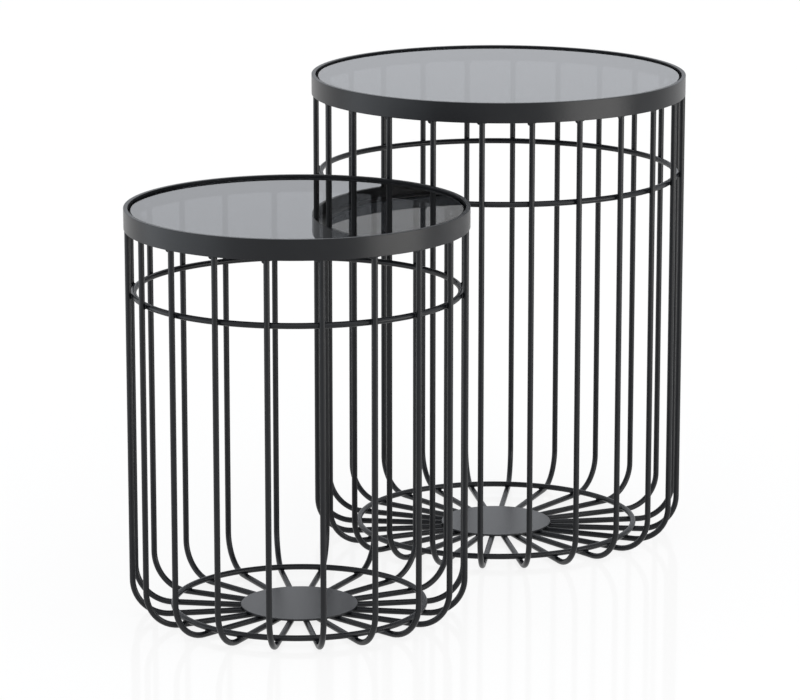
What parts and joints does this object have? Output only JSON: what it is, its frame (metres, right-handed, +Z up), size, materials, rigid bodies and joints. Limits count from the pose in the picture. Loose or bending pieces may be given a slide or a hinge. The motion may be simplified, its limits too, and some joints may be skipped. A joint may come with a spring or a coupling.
{
  "type": "nesting tables",
  "caption": "Round wire cage side tables that nest: bent steel wires under a flat rim, with wire rings, a centre disc and a loose smoked glass top set inside the rim.",
  "frame": {"origin": "on the floor, at the middle of the two tables' common footprint box", "axes": "+Z up; +Y from the small table in front to the large table behind, along the longest extent; +X to the right seen from the front"},
  "size_m": [0.6246, 0.7414, 0.5415],
  "materials": {
    "coated_steel": "satin anthracite powder coat",
    "smoked_glass": "polished smoked float glass",
    "clear_bumper": "soft clear silicone"
  },
  "bodies": {
    "large_table": {"large_centre_disc": "coated_steel", "large_glass_bumpers": "clear_bumper", "large_glass_ledge": "coated_steel", "large_lower_ring": "coated_steel", "large_rim": "coated_steel", "large_upper_ring": "coated_steel", "large_wire_01": "coated_steel", "large_wire_02": "coated_steel", "large_wire_03": "coated_steel", "large_wire_04": "coated_steel", "large_wire_05": "coated_steel", "large_wire_06": "coated_steel", "large_wire_07": "coated_steel", "large_wire_08": "coated_steel", "large_wire_09": "coated_steel", "large_wire_10": "coated_steel", "large_wire_11": "coated_steel", "large_wire_12": "coated_steel", "large_wire_13": "coated_steel", "large_wire_14": "coated_steel", "large_wire_15": "coated_steel", "large_wire_16": "coated_steel", "large_wire_17": "coated_steel", "large_wire_18": "coated_steel", "large_wire_19": "coated_steel", "large_wire_20": "coated_steel", "large_wire_21": "coated_steel", "large_wire_22": "coated_steel", "large_wire_23": "coated_steel", "large_wire_24": "coated_steel"},
    "large_glass": {"large_glass_top": "smoked_glass"},
    "small_table": {"small_centre_disc": "coated_steel", "small_glass_bumpers": "clear_bumper", "small_glass_ledge": "coated_steel", "small_lower_ring": "coated_steel", "small_rim": "coated_steel", "small_upper_ring": "coated_steel", "small_wire_01": "coated_steel", "small_wire_02": "coated_steel", "small_wire_03": "coated_steel", "small_wire_04": "coated_steel", "small_wire_05": "coated_steel", "small_wire_06": "coated_steel", "small_wire_07": "coated_steel", "small_wire_08": "coated_steel", "small_wire_09": "coated_steel", "small_wire_10": "coated_steel", "small_wire_11": "coated_steel", "small_wire_12": "coated_steel", "small_wire_13": "coated_steel", "small_wire_14": "coated_steel", "small_wire_15": "coated_steel", "small_wire_16": "coated_steel", "small_wire_17": "coated_steel", "small_wire_18": "coated_steel", "small_wire_19": "coated_steel", "small_wire_20": "coated_steel"},
    "small_glass": {"small_glass_top": "smoked_glass"}
  },
  "joints": [
    {"name": "large_glass_lift", "type": "slide", "parent": "large_table", "child": "large_glass", "axis": [0, 0, 1], "range_m": [0, 0.2]},
    {"name": "small_table_slide", "type": "slide", "parent": "large_table", "child": "small_table", "axis": [-0.549, -0.8358, 0], "range_m": [-0.005, 0.5]},
    {"name": "small_glass_lift", "type": "slide", "parent": "small_table", "child": "small_glass", "axis": [0, 0, 1], "range_m": [0, 0.2]}
  ]
}
